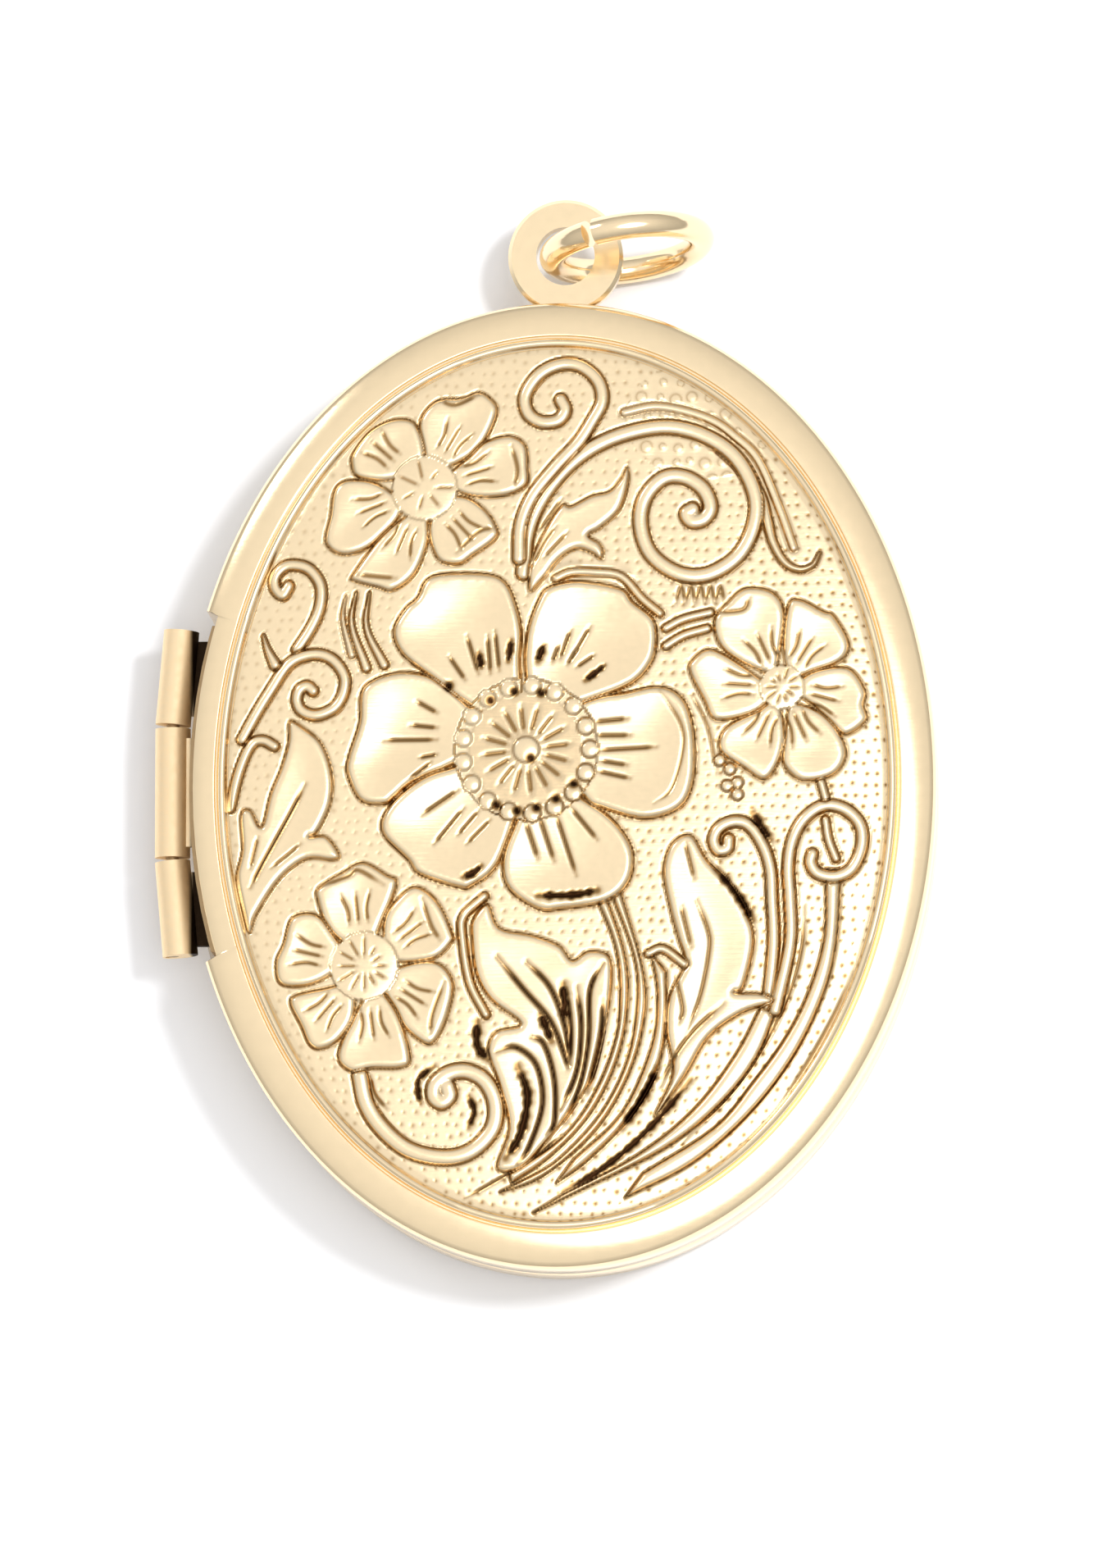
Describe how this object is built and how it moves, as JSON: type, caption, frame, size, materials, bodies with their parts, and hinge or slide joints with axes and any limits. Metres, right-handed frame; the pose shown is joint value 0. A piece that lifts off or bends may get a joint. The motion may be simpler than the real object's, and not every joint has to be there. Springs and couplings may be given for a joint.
{
  "type": "locket",
  "caption": "Oval hinged photo locket with an embossed floral front, inner picture frames under clear windows, a flat hanging loop and an open jump ring.",
  "frame": {"origin": "centre of the flat back face, on the surface that the closed locket lies on", "axes": "+Z out of the embossed front cover, +Y towards the hanging loop, +X away from the hinge"},
  "size_m": [0.0265, 0.0367, 0.006],
  "materials": {
    "embossed_gold": "bright pale gold plate over stamped and engraved relief",
    "polished_gold": "high-polish pale gold plate",
    "inner_gold": "satin gold plate inside the covers",
    "hinge_gold": "polished drawn tube and wire, gold plated",
    "ring_gold": "polished round wire, gold plated",
    "window_sheet": "thin clear flexible sheet",
    "picture_card": "plain coated paper card, left blank"
  },
  "bodies": {
    "back_half": {"back_cover": "polished_gold", "back_liner": "inner_gold", "closing_rim": "inner_gold", "back_picture_frame": "inner_gold", "back_window": "window_sheet", "back_picture_card": "picture_card", "back_hinge_bearer": "hinge_gold", "hinge_knuckle_top": "hinge_gold", "hinge_knuckle_bottom": "hinge_gold", "hinge_pin": "hinge_gold", "hanging_loop": "polished_gold"},
    "front_half": {"front_cover": "embossed_gold", "front_liner": "inner_gold", "front_picture_frame": "inner_gold", "front_window": "window_sheet", "front_picture_card": "picture_card", "front_hinge_bearer": "hinge_gold", "hinge_knuckle_middle": "hinge_gold"},
    "ring": {"jump_ring": "ring_gold"}
  },
  "joints": [
    {"name": "cover_hinge", "type": "hinge", "parent": "back_half", "child": "front_half", "pos_m": [-0.01317, 0, 0.0025], "axis": [0, -1, 0], "range_deg": [0, 165]},
    {"name": "jump_ring_swing", "type": "hinge", "parent": "back_half", "child": "ring", "pos_m": [0.00016, 0.01833, 0.0022], "axis": [0, 0, 1], "range_deg": [0, 158]}
  ]
}
